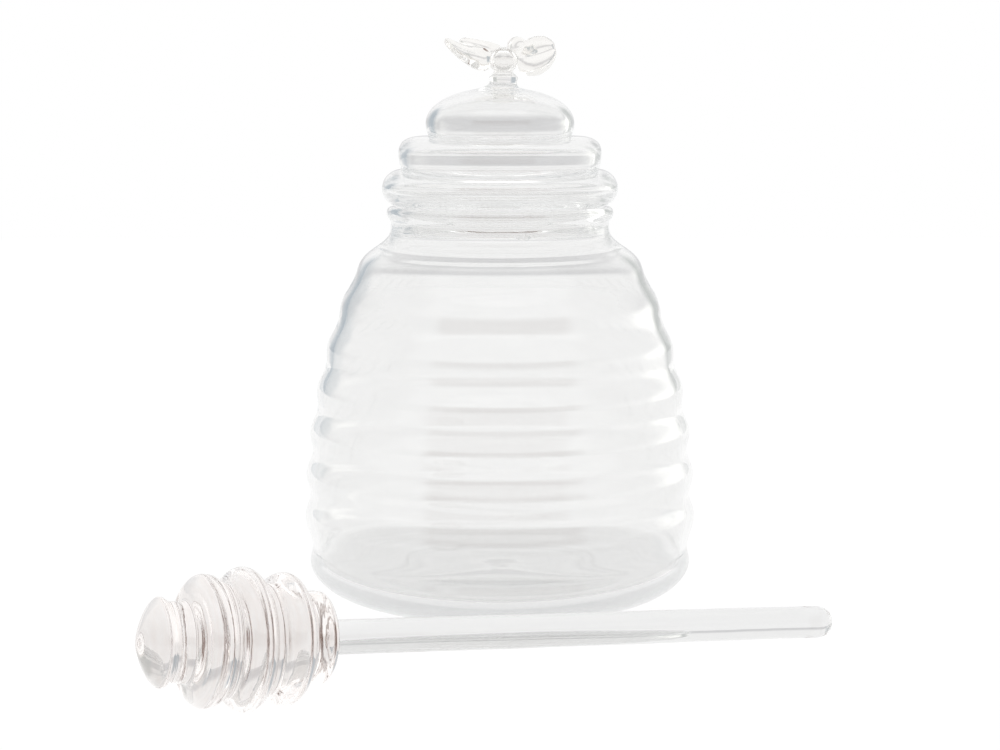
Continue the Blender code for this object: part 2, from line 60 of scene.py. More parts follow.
@dataclass
class Outline:
    """The outline of a turned wall: points (radius, height), in order."""

    points: list[Point] = field(default_factory=list)

    def add(self, *points: Point) -> "Outline":
        """Adds points, without one that repeats the last.

        Args:
            points: The points to follow.

        Returns:
            This outline.
        """
        for point in points:
            if not self.points or math.dist(point, self.points[-1]) > SAME_PLACE:
                self.points.append(point)
        return self

    def corner(self, centre: Point, size: Point, turn: Point, power: float = 2.0) -> "Outline":
        """Adds part of a superellipse.

        Args:
            centre: Its middle.
            size: Its half width and half height.
            turn: The first and the last angle, in degrees.
            power: 1 is a straight slope, 2 an ellipse, more is squarer.

        Returns:
            This outline.
        """
        steps = 24
        for step in range(steps + 1):
            angle = math.radians(turn[0] + (turn[1] - turn[0]) * step / steps)
            cosine, sine = math.cos(angle), math.sin(angle)
            self.add((
                centre[0] + size[0] * math.copysign(abs(cosine) ** (2 / power), cosine),
                centre[1] + size[1] * math.copysign(abs(sine) ** (2 / power), sine),
            ))
        return self

    def ease(self, end: Point) -> "Outline":
        """Adds an S-curve that leaves and reaches its heights upright.

        Args:
            end: The curve's last point.

        Returns:
            This outline.
        """
        steps = 16
        start = self.points[-1]
        for step in range(1, steps + 1):
            share = step / steps
            swing = (1 - math.cos(math.pi * share)) / 2
            self.add((
                start[0] + (end[0] - start[0]) * swing,
                start[1] + (end[1] - start[1]) * share,
            ))
        return self

    def curve(self, second: Point, third: Point, end: Point) -> "Outline":
        """Adds a cubic curve.

        Args:
            second: The point that the curve leaves towards.
            third: The point that the curve arrives from.
            end: The curve's last point.

        Returns:
            This outline.
        """
        steps = 20
        controls = (self.points[-1], second, third, end)
        for step in range(1, steps + 1):
            t = step / steps
            weights = ((1 - t) ** 3, 3 * t * (1 - t) ** 2, 3 * t * t * (1 - t), t ** 3)
            self.add(tuple(
                sum(weight * control[axis] for weight, control in zip(weights, controls))
                for axis in (0, 1)
            ))
        return self

    def inside(self, wall: Callable[[float], float]) -> list[Point]:
        """Gives the outline moved to its left by the wall's thickness.

        Args:
            wall: Thickness as a function of height.

        Returns:
            The moved points, in the same order.
        """
        moved = []
        last = len(self.points) - 1
        for index, (radius, height) in enumerate(self.points):
            before = self.points[max(index - 1, 0)]
            after = self.points[min(index + 1, last)]
            along = Vector((after[0] - before[0], after[1] - before[1])).normalized()
            thickness = wall(height)
            moved.append((radius - along.y * thickness, height + along.x * thickness))
        return moved

    def evened(self, spacing: float) -> "Outline":
        """Gives the same outline with points at an even spacing.

        Args:
            spacing: Distance from point to point along the outline.

        Returns:
            A new outline.
        """
        walked = [0.0]
        for first, second in zip(self.points, self.points[1:]):
            walked.append(walked[-1] + math.dist(first, second))
        count = max(2, round(walked[-1] / spacing))
        even = Outline()
        index = 0
        for step in range(count + 1):
            goal = walked[-1] * step / count
            while index < len(walked) - 2 and walked[index + 1] < goal:
                index += 1
            span = max(walked[index + 1] - walked[index], SAME_PLACE)
            share = min(max((goal - walked[index]) / span, 0), 1)
            first, second = self.points[index], self.points[index + 1]
            even.points.append((
                first[0] + (second[0] - first[0]) * share,
                first[1] + (second[1] - first[1]) * share,
            ))
        return even

    def softened(self, rounds: int) -> "Outline":
        """Gives the outline with its corners melted, its two ends kept.

        Args:
            rounds: How many times each point moves halfway to its neighbours' middle.

        Returns:
            A new outline.
        """
        points = list(self.points)
        for _ in range(rounds):
            points = [points[0]] + [
                (
                    (before[0] + 2 * here[0] + after[0]) / 4,
                    (before[1] + 2 * here[1] + after[1]) / 4,
                )
                for before, here, after in zip(points, points[1:], points[2:])
            ] + [points[-1]]
        return Outline(points)


@dataclass(frozen=True)
class Hand:
    """The slight unevenness that hand work leaves in glass."""

    sway: float
    sway_span: float
    ripple: float
    ripple_span: float
    inset: float = 0.7

    def moved(self, point: Vector) -> Vector:
        """Gives a point of the even shape its place on the real one.

        Args:
            point: The point, with the turning axis at x = y = 0.

        Returns:
            The point moved towards the axis, by more in some places than in others.
        """
        out = Vector((point.x, point.y, 0))
        fade = min(out.length / (4 * MM), 1)
        if fade == 0:
            return point.copy()
        sway = self.sway * (noise.noise(point / self.sway_span) - self.inset)
        ripple = self.ripple * (noise.noise(point / self.ripple_span) - self.inset)
        return point + out.normalized() * (sway + ripple) * fade


def closed_mesh(name: str, points: Sequence[Sequence[float]], faces: Sequence[Sequence[int]]
                ) -> bpy.types.Mesh:
    """Makes a smoothly shaded mesh with all faces turned outward.

    Args:
        name: The mesh's name.
        points: Its corners.
        faces: Its faces, as corner numbers.

    Returns:
        The mesh.
    """
    mesh = bpy.data.meshes.new(name)
    mesh.from_pydata([tuple(point) for point in points], [], [tuple(face) for face in faces])
    shape = bmesh.new()
    shape.from_mesh(mesh)
    bmesh.ops.recalc_face_normals(shape, faces=shape.faces)
    if shape.calc_volume(signed=True) < 0:
        bmesh.ops.reverse_faces(shape, faces=shape.faces)
    shape.to_mesh(mesh)
    shape.free()
    mesh.shade_smooth()
    return mesh


def piece_of(name: str, mesh: bpy.types.Mesh) -> bpy.types.Object:
    """Puts a mesh into the scene.

    Args:
        name: The piece's name.
        mesh: Its mesh.

    Returns:
        The piece.
    """
    piece = bpy.data.objects.new(name, mesh)
    bpy.context.scene.collection.objects.link(piece)
    return piece


@dataclass(frozen=True)
class Lathe:
    """Spins an outline that starts and ends on the axis into a closed wall."""

    steps: int
    spacing: float
    melt: int

    def turned(self, name: str, outline: Outline, hand: Hand) -> bpy.types.Mesh:
        """Makes the wall.

        Args:
            name: The mesh's name.
            outline: The wall's outline.
            hand: Its unevenness.

        Returns:
            The mesh.
        """
        points: list[Vector] = []
        rings: list[list[int]] = []
        for radius, height in outline.evened(self.spacing).softened(self.melt).points:
            first = len(points)
            if radius < SAME_PLACE:
                points.append(Vector((0, 0, height)))
            else:
                for step in range(self.steps):
                    angle = math.tau * step / self.steps
                    even = Vector((radius * math.sin(angle), -radius * math.cos(angle), height))
                    points.append(hand.moved(even))
            rings.append(list(range(first, len(points))))
        faces = []
        for lower, upper in zip(rings, rings[1:]):
            for step in range(self.steps):
                after = (step + 1) % self.steps
                corners = (
                    lower[step % len(lower)], lower[after % len(lower)],
                    upper[after % len(upper)], upper[step % len(upper)],
                )
                face = tuple(dict.fromkeys(corners))
                if len(face) > 2:
                    faces.append(face)
        return closed_mesh(name, points, faces)


def settled(piece: bpy.types.Object) -> bpy.types.Mesh:
    """Applies a piece's modifiers.

    Args:
        piece: The piece, which is left as it is.

    Returns:
        A new mesh with the modifiers' result.
    """
    bpy.context.view_layer.update()
    graph = bpy.context.evaluated_depsgraph_get()
    return bpy.data.meshes.new_from_object(piece.evaluated_get(graph), depsgraph=graph)


def gathered(name: str, pieces: Sequence[bpy.types.Object]) -> bpy.types.Object:
    """Joins several pieces into one and deletes them.

    Args:
        name: The new piece's name.
        pieces: The pieces, each in its place.

    Returns:
        One piece that holds all their faces.
    """
    bpy.context.view_layer.update()
    shape = bmesh.new()
    for piece in pieces:
        piece.data.transform(piece.matrix_world)
        shape.from_mesh(piece.data)
        bpy.data.objects.remove(piece)
    mesh = bpy.data.meshes.new(name)
    shape.to_mesh(mesh)
    shape.free()
    return piece_of(name, mesh)


# Finishes


class Drawn(Enum):
    """Which way the fine lines in the glass run, as how often they change along x, y and z."""

    ROUND = (0.25, 0.25, 1.0)
    LENGTHWISE = (1.0, 1.0, 0.12)
    FREE = (1.0, 1.0, 1.0)


class GlassEffects:
    """The shader node group that every glass uses."""

    NAME = "hand_worked_glass_and_painted_shade"

    @classmethod
    def group(cls) -> bpy.types.NodeTree:
        """Gives the group, which is built the first time it is asked for."""
        return bpy.data.node_groups.get(cls.NAME) or cls._built()

    @classmethod
    def _built(cls) -> bpy.types.NodeTree:
        """Builds the group.

        Returns:
            A node tree with the sockets that a glass material links to.
        """
        tree = bpy.data.node_groups.new(cls.NAME, "ShaderNodeTree")
        for name, kind, start in (
            ("Place", "NodeSocketVector", (0, 0, 0)),
            ("Line Direction", "NodeSocketVector", (1, 1, 1)),
            ("Line Scale", "NodeSocketFloat", 300.0),
            ("Pool Scale", "NodeSocketFloat", 60.0),
            ("Pool Share", "NodeSocketFloat", 0.6),
            ("Smear", "NodeSocketFloat", 0.02),
            ("Clear Tint", "NodeSocketColor", (1, 1, 1, 1)),
            ("Streak Tint", "NodeSocketColor", (1, 1, 1, 1)),
            ("Zone Start", "NodeSocketFloat", 1.0),
            ("Zone End", "NodeSocketFloat", 2.0),
            ("Zone Tint", "NodeSocketColor", (1, 1, 1, 1)),
        ):
            socket = tree.interface.new_socket(name, in_out="INPUT", socket_type=kind)
            socket.default_value = start
        for name, kind in (
            ("Height", "NodeSocketFloat"),
            ("Roughness", "NodeSocketFloat"),
            ("Tint", "NodeSocketColor"),
        ):
            tree.interface.new_socket(name, in_out="OUTPUT", socket_type=kind)
        add, link = tree.nodes.new, tree.links.new
        given, out = add("NodeGroupInput"), add("NodeGroupOutput")

        stretched = add("ShaderNodeVectorMath")
        stretched.operation = "MULTIPLY"
        link(given.outputs["Place"], stretched.inputs[0])
        link(given.outputs["Line Direction"], stretched.inputs[1])

        lines = add("ShaderNodeTexNoise")
        lines.inputs["Detail"].default_value = 2.0
        link(stretched.outputs["Vector"], lines.inputs["Vector"])
        link(given.outputs["Line Scale"], lines.inputs["Scale"])

        pools = add("ShaderNodeTexNoise")
        pools.inputs["Detail"].default_value = 1.0
        link(given.outputs["Place"], pools.inputs["Vector"])
        link(given.outputs["Pool Scale"], pools.inputs["Scale"])

        height = add("ShaderNodeMix")
        height.data_type = "FLOAT"
        link(given.outputs["Pool Share"], height.inputs["Factor"])
        link(lines.outputs["Fac"], height.inputs["A"])
        link(pools.outputs["Fac"], height.inputs["B"])
        link(height.outputs["Result"], out.inputs["Height"])

        smear = add("ShaderNodeMapRange")
        smear.inputs["From Min"].default_value = 0.5
        smear.inputs["From Max"].default_value = 0.75
        link(pools.outputs["Fac"], smear.inputs["Value"])
        link(given.outputs["Smear"], smear.inputs["To Max"])
        link(smear.outputs["Result"], out.inputs["Roughness"])

        tint = add("ShaderNodeMix")
        tint.data_type = "RGBA"
        colours = [socket for socket in tint.inputs if socket.type == "RGBA"]
        link(lines.outputs["Fac"], tint.inputs["Factor"])
        link(given.outputs["Clear Tint"], colours[0])
        link(given.outputs["Streak Tint"], colours[1])
        worked = next(socket for socket in tint.outputs if socket.type == "RGBA")

        # The zone multiplies the worked tint by the zone tint between two heights, fully past the
        # second; on the pot this is painted shade, darker towards the foot.
        place = add("ShaderNodeSeparateXYZ")
        link(given.outputs["Place"], place.inputs["Vector"])
        zone = add("ShaderNodeMapRange")
        link(place.outputs["Z"], zone.inputs["Value"])
        link(given.outputs["Zone Start"], zone.inputs["From Min"])
        link(given.outputs["Zone End"], zone.inputs["From Max"])
        zoned = add("ShaderNodeMix")
        zoned.data_type = "RGBA"
        zoned.blend_type = "MULTIPLY"
        colours = [socket for socket in zoned.inputs if socket.type == "RGBA"]
        link(zone.outputs["Result"], zoned.inputs["Factor"])
        link(worked, colours[0])
        link(given.outputs["Zone Tint"], colours[1])
        shown = next(socket for socket in zoned.outputs if socket.type == "RGBA")
        link(shown, out.inputs["Tint"])
        return tree


@dataclass(frozen=True)
class GlassFinish:
    """A clear glass: its colour, how it was worked, and how it darkens with depth."""

    name: str
    drawn: Drawn
    line_scale: float
    pool_scale: float
    pool_share: float
    ripple: float
    smear: float
    clear_tint: tuple[float, float, float]
    streak_tint: tuple[float, float, float]
    depth_colour: tuple[float, float, float] = (0.50, 0.52, 0.52)
    depth_density: float = 0.0
    # zone gives the heights where the zone tint starts and where it is full, and zone_tint
    # multiplies the glass's colour there; on the pot it is painted shade at the foot.
    zone: tuple[float, float] = (1.0, 2.0)
    zone_tint: tuple[float, float, float] = (1.0, 1.0, 1.0)
    ior: float = 1.51
    trapped_depth: float = 9.5

    def material(self, lie: Matrix) -> bpy.types.Material:
        """Builds the material.

        Args:
            lie: Where the piece was moved to after it was worked upright.

        Returns:
            A glass that lets lamps light what is behind it.
        """
        material = bpy.data.materials.new(self.name)
        material.use_nodes = True
        tree = material.node_tree
        tree.nodes.clear()
        add, link = tree.nodes.new, tree.links.new
        out = add("ShaderNodeOutputMaterial")
        glass = add("ShaderNodeBsdfPrincipled")
        glass.inputs["Metallic"].default_value = 0.0
        glass.inputs["IOR"].default_value = self.ior
        glass.inputs["Transmission Weight"].default_value = 1.0

        worked = add("ShaderNodeMapping")
        worked.vector_type = "TEXTURE"
        worked.inputs["Location"].default_value = lie.to_translation()
        worked.inputs["Rotation"].default_value = lie.to_euler()
        link(add("ShaderNodeTexCoord").outputs["Object"], worked.inputs["Vector"])
        work = add("ShaderNodeGroup")
        work.node_tree = GlassEffects.group()
        link(worked.outputs["Vector"], work.inputs["Place"])
        work.inputs["Line Direction"].default_value = self.drawn.value
        work.inputs["Line Scale"].default_value = self.line_scale
        work.inputs["Pool Scale"].default_value = self.pool_scale
        work.inputs["Pool Share"].default_value = self.pool_share
        work.inputs["Smear"].default_value = self.smear
        work.inputs["Clear Tint"].default_value = (*self.clear_tint, 1)
        work.inputs["Streak Tint"].default_value = (*self.streak_tint, 1)
        work.inputs["Zone Start"].default_value, work.inputs["Zone End"].default_value = self.zone
        work.inputs["Zone Tint"].default_value = (*self.zone_tint, 1)
        link(work.outputs["Tint"], glass.inputs["Base Color"])
        link(work.outputs["Roughness"], glass.inputs["Roughness"])

        bump = add("ShaderNodeBump")
        bump.inputs["Strength"].default_value = 1.0
        bump.inputs["Distance"].default_value = self.ripple
        link(work.outputs["Height"], bump.inputs["Height"])
        link(bump.outputs["Normal"], glass.inputs["Normal"])

        path = add("ShaderNodeLightPath")
        trapped = add("ShaderNodeMath")
        trapped.operation = "GREATER_THAN"
        trapped.inputs[1].default_value = self.trapped_depth
        link(path.outputs["Ray Depth"], trapped.inputs[0])
        lighting = add("ShaderNodeMath")
        lighting.operation = "MAXIMUM"
        link(path.outputs["Is Shadow Ray"], lighting.inputs[0])
        link(path.outputs["Is Diffuse Ray"], lighting.inputs[1])
        passing = add("ShaderNodeMath")
        passing.operation = "MAXIMUM"
        link(lighting.outputs["Value"], passing.inputs[0])
        link(trapped.outputs["Value"], passing.inputs[1])
        clear = add("ShaderNodeBsdfTransparent")
        clear.inputs["Color"].default_value = (0.97, 0.97, 0.97, 1)
        shown = add("ShaderNodeMixShader")
        link(passing.outputs["Value"], shown.inputs["Fac"])
        link(glass.outputs["BSDF"], shown.inputs[1])
        link(clear.outputs["BSDF"], shown.inputs[2])
        link(shown.outputs["Shader"], out.inputs["Surface"])

        if self.depth_density:
            depth = add("ShaderNodeVolumeAbsorption")
            depth.inputs["Color"].default_value = (*self.depth_colour, 1)
            depth.inputs["Density"].default_value = self.depth_density
            link(depth.outputs["Volume"], out.inputs["Volume"])
        return material


# The pot's zone and zone_tint multiply its glass by 0.88 from 10 mm down to 8 mm and below:
# painted shade at the foot, where the pot meets the table.
POT_GLASS = GlassFinish(
    name="blown_pot_glass", drawn=Drawn.ROUND, line_scale=420.0, pool_scale=60.0, pool_share=0.7,
    ripple=0.014 * MM, smear=0.02, clear_tint=(0.945, 0.945, 0.942),
    streak_tint=(0.915, 0.915, 0.912), depth_density=7.0, zone=(10 * MM, 8 * MM),
    zone_tint=(0.88, 0.88, 0.88),
)
LID_GLASS = replace(
    POT_GLASS, name="blown_lid_glass", zone=(132 * MM, 136 * MM), zone_tint=(1.0, 0.985, 0.965))
ROD_GLASS = GlassFinish(
    name="drawn_rod_glass", drawn=Drawn.LENGTHWISE, line_scale=500.0, pool_scale=120.0,
    pool_share=0.6, ripple=0.03 * MM, smear=0.03, clear_tint=(0.85, 0.85, 0.845),
    streak_tint=(0.82, 0.82, 0.82),
)
WOUND_GLASS = GlassFinish(
    name="wound_glass", drawn=Drawn.ROUND, line_scale=900.0, pool_scale=160.0,
    pool_share=0.35, ripple=0.035 * MM, smear=0.03, clear_tint=(0.85, 0.85, 0.85),
    streak_tint=(0.77, 0.705, 0.67),
)


def dressed(piece: bpy.types.Object, finishes: Sequence[GlassFinish], body: str,
            nodes: Sequence[str], lie: Matrix = Matrix.Identity(4)) -> bpy.types.Object:
    """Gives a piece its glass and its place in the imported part.

    Args:
        piece: The piece, in its place.
        finishes: Its glasses, in the order of its faces' material numbers.
        body: The body that it moves with.
        nodes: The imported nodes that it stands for.
        lie: Where the piece was moved to after it was worked upright.

    Returns:
        The same piece.
    """
    for finish in finishes:
        piece.data.materials.append(finish.material(lie))
    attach(piece, body)
    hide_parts(*nodes)
    LOG.info("%s: %d faces on %s", piece.name, len(piece.data.polygons), body)
    return piece


# Pot


@dataclass(frozen=True)
class Pot:
    """The one-piece blown pot: ribbed hive, shoulder, neck and beaded rim."""

    belly_radius: float = 51.0 * MM
    belly_height: float = 21.5 * MM
    shoulder_height: float = 86.0 * MM
    shoulder_inset: float = 13.7 * MM
    rib_pitch: float = 11.25 * MM
    rib_depth: float = 1.25 * MM
    inner_rib_share: float = 0.85
    wall: float = 2.0 * MM
    foot_radius: float = 34.0 * MM
    roll_inset: float = 1.15 * MM
    roll_height: float = 9.5 * MM
    groove_depth: float = 0.6 * MM
    groove_rise: float = 3.5 * MM
    floor: float = 4.2 * MM
    corner_wall: float = 3.6 * MM
    kick_radius: float = 30.0 * MM
    kick: float = 1.0 * MM
    kick_rise: float = 0.7 * MM
    shoulder_rise: float = 10.2 * MM
    neck_radius: float = 28.3 * MM
    neck_length: float = 2.1 * MM
    rim_bead: float = 1.1 * MM
    rim_height: float = 3.4 * MM
    rim_round: float = 1.0 * MM
    base_power: float = 1.85
    lathe: Lathe = Lathe(steps=180, spacing=0.6 * MM, melt=1)
    hand: Hand = Hand(sway=0.08 * MM, sway_span=50 * MM, ripple=0.004 * MM, ripple_span=14 * MM)

    def hive_radius(self, height: float, rib_depth: float) -> float:
        """Gives the ribbed wall's radius: an ellipse of crests, less a wave of grooves.

        Args:
            height: Height above the table.
            rib_depth: How deep the grooves are at the belly.

        Returns:
            The radius.
        """
        shoulder_share = (self.belly_radius - self.shoulder_inset) / self.belly_radius
        full_rise = (self.shoulder_height - self.belly_height) / math.sqrt(
            1 - shoulder_share ** 2)
        rise = (height - self.belly_height) / full_rise
        crest = self.belly_radius * math.sqrt(1 - rise ** 2)
        turns = (height - self.belly_height) / self.rib_pitch
        return crest - rib_depth * (1 - rise ** 2) * (1 - math.cos(math.tau * turns)) / 2

    def thickness(self, height: float) -> float:
        """Gives the glass's thickness, which grows towards the foot.

        Args:
            height: Height above the table.

        Returns:
            The thickness.
        """
        share = max(1 - height / (self.roll_height + self.groove_rise), 0)
        return self.wall + (self.corner_wall - self.wall) * share

    def face(self, rib_depth: float, groove_depth: float) -> Outline:
        """Draws the outer face from the foot to the neck.

        Args:
            rib_depth: How deep the hive's grooves are.
            groove_depth: How deep the groove over the base roll is.

        Returns:
            The outline of that face.
        """
        roll_radius = self.belly_radius - self.roll_inset
        outer = Outline().corner(
            (self.foot_radius, self.roll_height),
            (roll_radius - self.foot_radius, self.roll_height), (-90, 0), self.base_power,
        )
        outer.ease((roll_radius - groove_depth, self.roll_height + self.groove_rise))
        outer.ease((self.belly_radius, self.belly_height))
        rise = self.shoulder_height - self.belly_height
        for step in range(1, 121):
            height = self.belly_height + rise * step / 120
            outer.add((self.hive_radius(height, rib_depth), height))
        start = outer.points[-1]
        before = outer.points[-2]
        slope = (start[0] - before[0]) / (start[1] - before[1])
        low, high = 0.54 * self.shoulder_rise, 0.44 * self.shoulder_rise
        neck = (self.neck_radius, self.shoulder_height + self.shoulder_rise)
        return outer.curve(
            (start[0] + slope * low, start[1] + low), (neck[0], neck[1] - high), neck)

    def outline(self) -> Outline:
        """Draws the wall from the middle of the foot, up outside, over the rim and down inside.

        Returns:
            The outline, which starts and ends on the axis.
        """
        outer = self.face(self.rib_depth, self.groove_depth)
        inner = self.face(
            self.rib_depth * self.inner_rib_share, self.groove_depth * self.inner_rib_share,
        ).inside(self.thickness)
        rim_start = self.shoulder_height + self.shoulder_rise + self.neck_length
        bore = self.neck_radius - self.wall
        reach, kick = self.kick_radius, self.kick
        whole = Outline([(0.0, kick)])
        whole.curve((0.5 * reach, kick), (0.8 * reach, 0.0), (reach, 0.0)).add(*outer.points)
        whole.corner(
            (self.neck_radius, rim_start + self.rim_height / 2),
            (self.rim_bead, self.rim_height / 2), (-90, 90),
        )
        top = rim_start + self.rim_height
        whole.corner(
            (bore + self.rim_round, top - self.rim_round),
            (self.rim_round, self.rim_round), (90, 180),
        )
        whole.add(*reversed([point for point in inner if point[0] > reach]))
        top = self.floor + kick + self.kick_rise
        return whole.curve((0.8 * reach, self.floor), (0.5 * reach, top), (0.0, top))

    def build(self) -> bpy.types.Object:
        """Makes and dresses the pot.

        Returns:
            The pot.
        """
        mesh = self.lathe.turned("pot_glass", self.outline(), self.hand)
        piece = piece_of("pot_glass", mesh)
        return dressed(piece, [POT_GLASS], "pot", ["pot_body"])


# Lid and finial


@dataclass(frozen=True)
class Tier:
    """One bulge of the lid, between the waist below it and the waist or axis above it."""

    radius: float
    foot: Point
    middle: float
    top: Point
    power: float

    def draw(self, outline: Outline) -> None:
        """Adds the bulge to an outline, from its foot up.

        Args:
            outline: The outline to add to.
        """
        outline.corner(
            (self.foot[0], self.middle),
            (self.radius - self.foot[0], self.middle - self.foot[1]), (-90, 0),
        )
        outline.corner(
            (self.top[0], self.middle),
            (self.radius - self.top[0], self.top[1] - self.middle), (0, 90), self.power,
        )


@dataclass(frozen=True)
class Wing:
    """A lobe drawn out of a bead of glass. Angles are in degrees, from +X in plan."""

    root_bearing: float
    root_rise: float
    bearing: float
    rise: float
    twist: float
    length: float
    width: float
    root: float
    widths: tuple[float, ...]
    beads: tuple[float, ...] = (0.42, 0.78, 1.0, 0.86, 0.5, 0.2, 0.0, 0.0)
    edges: tuple[float, ...] = (0.8, 1.0, 1.0, 1.0, 1.0, 1.0, 0.85, 0.5)
    stations: tuple[float, ...] = (0.0, 0.05, 0.16, 0.34, 0.54, 0.74, 0.9, 0.98)
    edge: float = 2.2 * MM
    crease: float = 0.35
    sides: int = 28
    rings: int = 28

    @staticmethod
    def heading(bearing: float, rise: float) -> Vector:
        """Gives the unit vector of a bearing and a rise.

        Args:
            bearing: Its way in degrees, anticlockwise from +X.
            rise: Its angle above level, in degrees.

        Returns:
            The vector.
        """
        flat = math.cos(math.radians(rise))
        return Vector((
            flat * math.cos(math.radians(bearing)),
            flat * math.sin(math.radians(bearing)),
            math.sin(math.radians(rise)),
        ))

    def between(self, values: Sequence[float], share: float) -> float:
        """Reads a table of values at a share of the wing's length.

        Args:
            values: One value for each station.
            share: Where along the wing, from 0 to 1.

        Returns:
            The smoothly blended value.
        """
        last = len(self.stations) - 2
        index = min(sum(share >= station for station in self.stations[1:-1]), last)
        start, end = self.stations[index], self.stations[index + 1]
        part = min(max((share - start) / (end - start), 0), 1)
        part = part * part * (3 - 2 * part) * 0.4 + part * 0.6
        return values[index] + (values[index + 1] - values[index]) * part

    def section(self, start: Vector, share: float) -> list[Vector]:
        """Draws one cross-section.

        Args:
            start: The wing's root.
            share: Where along the wing, from 0 to 1.

        Returns:
            The ring of points round it.
        """
        out = self.heading(self.root_bearing, self.root_rise)
        far = self.heading(self.bearing, self.rise)
        along = (out * (1 - share) + far * share).normalized()
        centre = start + along * self.length * share
        level = Vector((0, 0, 1)).cross(far).normalized()
        across = Matrix.Rotation(math.radians(self.twist), 3, far) @ level
        across = (across - along * across.dot(along)).normalized()
        up = along.cross(across)
        half_width = self.width * self.between(self.widths, share) / 2
        edge = self.edge * self.between(self.edges, share)
        half = (edge + (self.root - self.edge) * self.between(self.beads, share)) / 2
        ring = []
        for side in range(self.sides):
            angle = math.tau * side / self.sides
            pinch = self.crease * math.exp(-(math.cos(angle) / 0.3) ** 2) * min(share / 0.4, 1)
            ring.append(centre + across * half_width * math.cos(angle)
                        + up * half * (1 - pinch) * math.sin(angle))
        return ring

    def build(self, name: str, centre: Vector, size: Vector) -> bpy.types.Object:
        """Makes the wing, rooted in the thorax.

        Args:
            name: The piece's name.
            centre: The middle of the thorax.
            size: The thorax's width, length and height.

        Returns:
            The wing, closed at both ends.
        """
        out = self.heading(self.root_bearing, self.root_rise)
        reach = 1 / math.sqrt(sum((2 * out[axis] / size[axis]) ** 2 for axis in range(3)))
        start = centre + out * (reach - 0.5 * MM)
        tip = self.stations[-1]
        points: list[Vector] = []
        for ring in range(self.rings):
            points.extend(self.section(start, tip * ring / (self.rings - 1)))
        faces = [tuple(range(self.sides)), tuple(range(len(points) - self.sides, len(points)))]
        for ring in range(self.rings - 1):
            for side in range(self.sides):
                after = (side + 1) % self.sides
                low = ring * self.sides
                faces.append((low + side, low + after, low + self.sides + after,
                              low + self.sides + side))
        return piece_of(name, closed_mesh(name, points, faces))


POINTED_WIDTHS = (0.3, 0.6, 0.86, 0.8, 0.58, 0.44, 0.34, 0.2)
ROUND_WIDTHS = (0.24, 0.5, 0.78, 0.96, 1.0, 0.88, 0.6, 0.28)


@dataclass(frozen=True)
class Bee:
    """The finial: a bee worked in the lamp, thorax on the stem and head to the front."""

    centre: Vector
    thorax: Vector = Vector((7.5, 9.0, 7.0)) * MM
    head: Vector = Vector((7.2, 4.0, 6.4)) * MM
    abdomen: Vector = Vector((6.4, 9.0, 6.4)) * MM
    taper: float = 0.45
    voxel: float = 0.25 * MM
    melt: int = 12
    wings: tuple[Wing, ...] = (
        Wing(194, 2, 181, 24, -36, 13.2 * MM, 8.8 * MM, 5.6 * MM, POINTED_WIDTHS),
        Wing(-14, 4, -8, 16, 66, 10.8 * MM, 11.0 * MM, 5.6 * MM, ROUND_WIDTHS),
        Wing(126, 24, 160, 21, -46, 11.0 * MM, 7.0 * MM, 2.6 * MM, POINTED_WIDTHS),
        Wing(52, 28, 58, 26, 56, 7.8 * MM, 6.4 * MM, 2.6 * MM, ROUND_WIDTHS),
    )

    @staticmethod
    def bead(name: str, centre: Vector, size: Vector, taper: float) -> bpy.types.Object:
        """Makes an egg of glass.

        Args:
            name: The piece's name.
            centre: Its middle.
            size: Its width, length and height.
            taper: How much of its width it loses towards the back.

        Returns:
            The egg.
        """
        shape = bmesh.new()
        bmesh.ops.create_icosphere(shape, subdivisions=4, radius=0.5)
        for point in shape.verts:
            narrowing = 1 - taper * (point.co.y + 0.5) ** 2
            point.co.x *= size.x * narrowing
            point.co.z *= size.z * narrowing
            point.co.y *= size.y
            point.co += centre
        mesh = bpy.data.meshes.new(name)
        shape.to_mesh(mesh)
        shape.free()
        return piece_of(name, mesh)

    def build(self) -> bpy.types.Object:
        """Makes the whole bee as one melted gather.

        Returns:
            The bee, as one closed mesh.
        """
        forward = Vector((0, self.thorax.y / 2 + self.head.y / 2 - 0.4 * MM, 0))
        backward = Vector((0, self.thorax.y / 2 + self.abdomen.y / 2 - 0.4 * MM, 0))
        pieces = [
            self.bead("thorax", self.centre, self.thorax, 0),
            self.bead("head", self.centre - forward, self.head, 0),
            self.bead("abdomen", self.centre + backward, self.abdomen, self.taper),
        ]
        for number, wing in enumerate(self.wings):
            pieces.append(wing.build(f"wing_{number}", self.centre, self.thorax))
        bee = gathered("bee", pieces)
        remesh = bee.modifiers.new("melted", "REMESH")
        remesh.mode = "VOXEL"
        remesh.voxel_size = self.voxel
        smooth = bee.modifiers.new("smoothed", "SMOOTH")
        smooth.factor = 0.5
        smooth.iterations = self.melt
        mesh = settled(bee)
        bee.modifiers.clear()
        bee.data = mesh
        return bee


